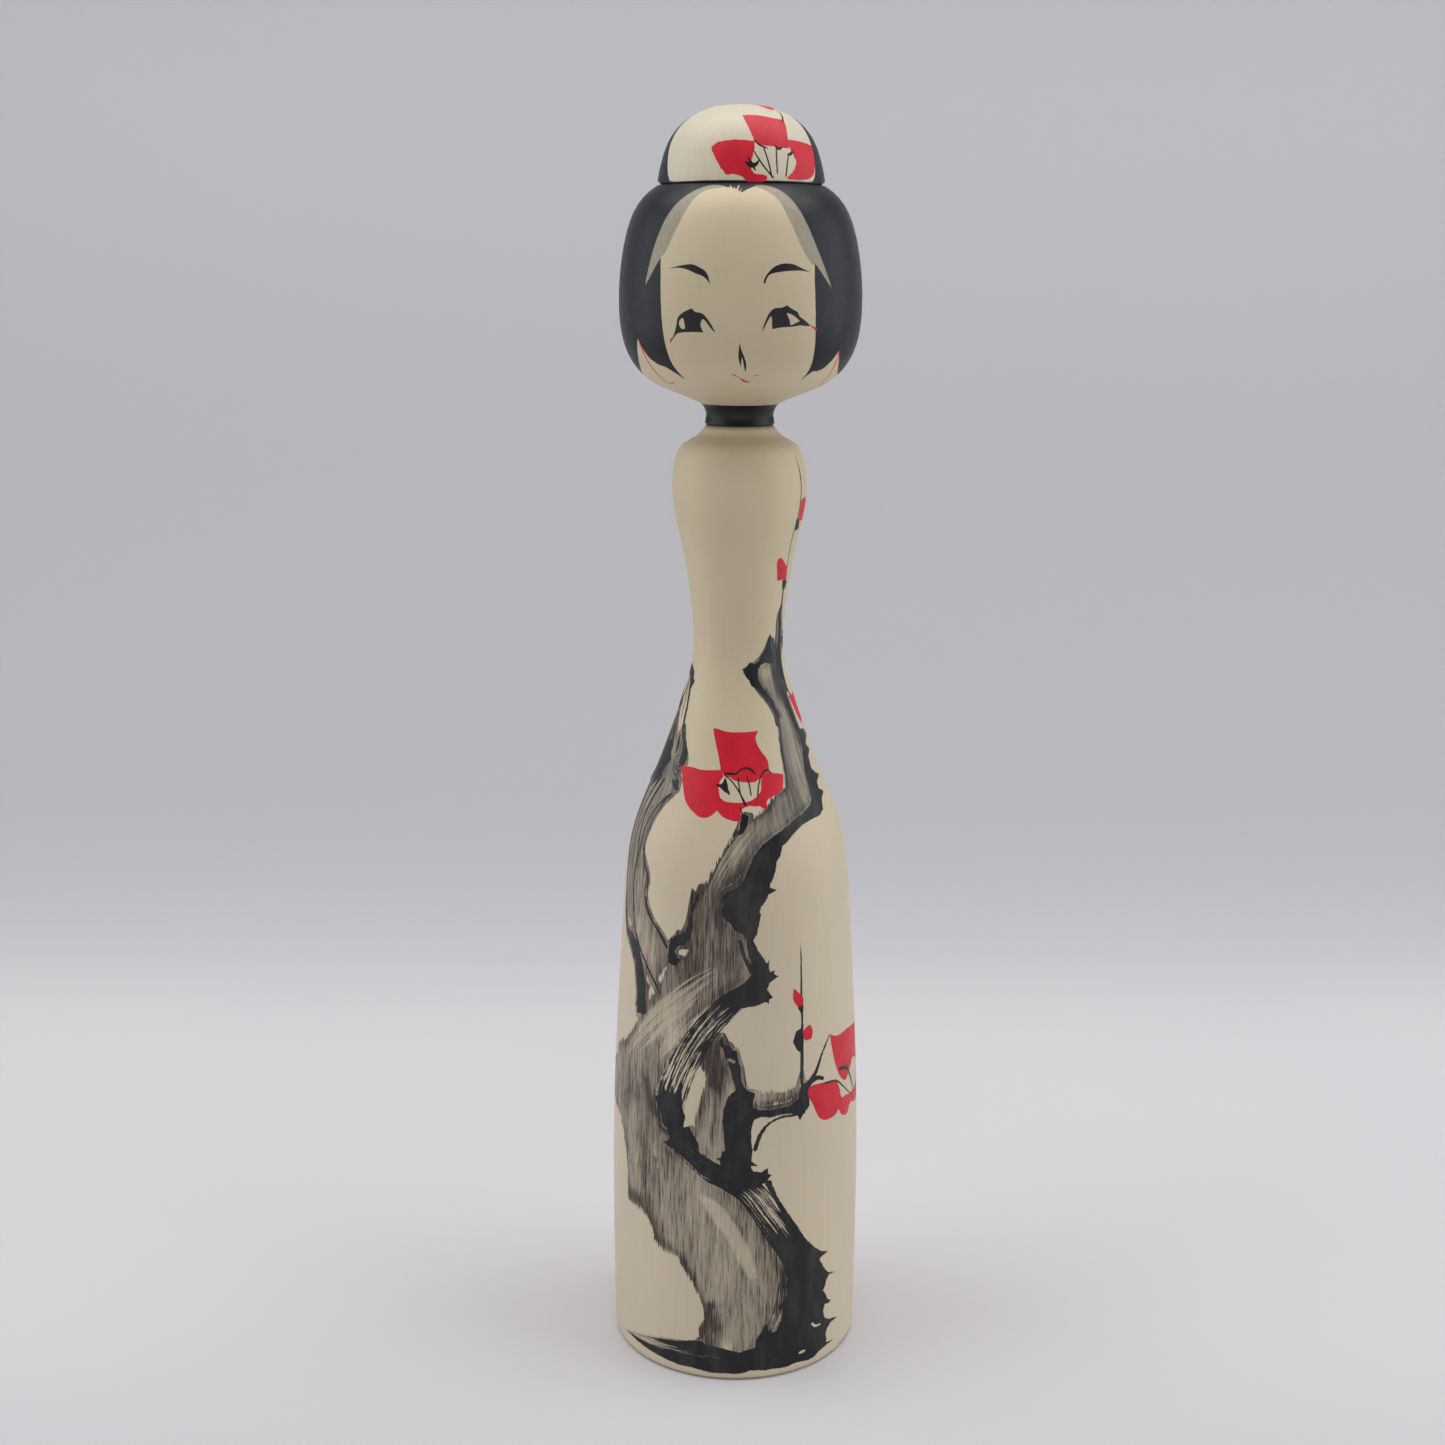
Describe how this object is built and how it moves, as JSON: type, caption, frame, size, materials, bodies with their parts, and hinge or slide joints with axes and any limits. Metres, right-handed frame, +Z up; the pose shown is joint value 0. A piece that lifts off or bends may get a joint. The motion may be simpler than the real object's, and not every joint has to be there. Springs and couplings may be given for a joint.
{
  "type": "kokeshi doll",
  "caption": "Turned wooden kokeshi doll with a slender waisted body, a turning head on a tenon neck and a domed topknot cap, painted with a face and a plum tree.",
  "frame": {"origin": "centre of the foot, on the surface the doll stands on", "axes": "+Z up the lathe axis, the face looks along -Y, +X to the viewer's right"},
  "size_m": [0.0496, 0.0496, 0.2424],
  "materials": {
    "body_wood": "waxed pale wood with ink and red painting",
    "head_wood": "waxed pale wood with black hair, neck and face painting",
    "cap_wood": "waxed pale wood with black and red painting",
    "peg_wood": "bare dowel"
  },
  "bodies": {
    "body": {"body": "body_wood"},
    "head": {"head": "head_wood", "hair_cap": "cap_wood", "cap_peg": "peg_wood"}
  },
  "joints": [
    {"name": "head_turn", "type": "hinge", "parent": "body", "child": "head", "pos_m": [0, 0, 0.18515], "axis": [0, 0, 1], "continuous": true}
  ]
}
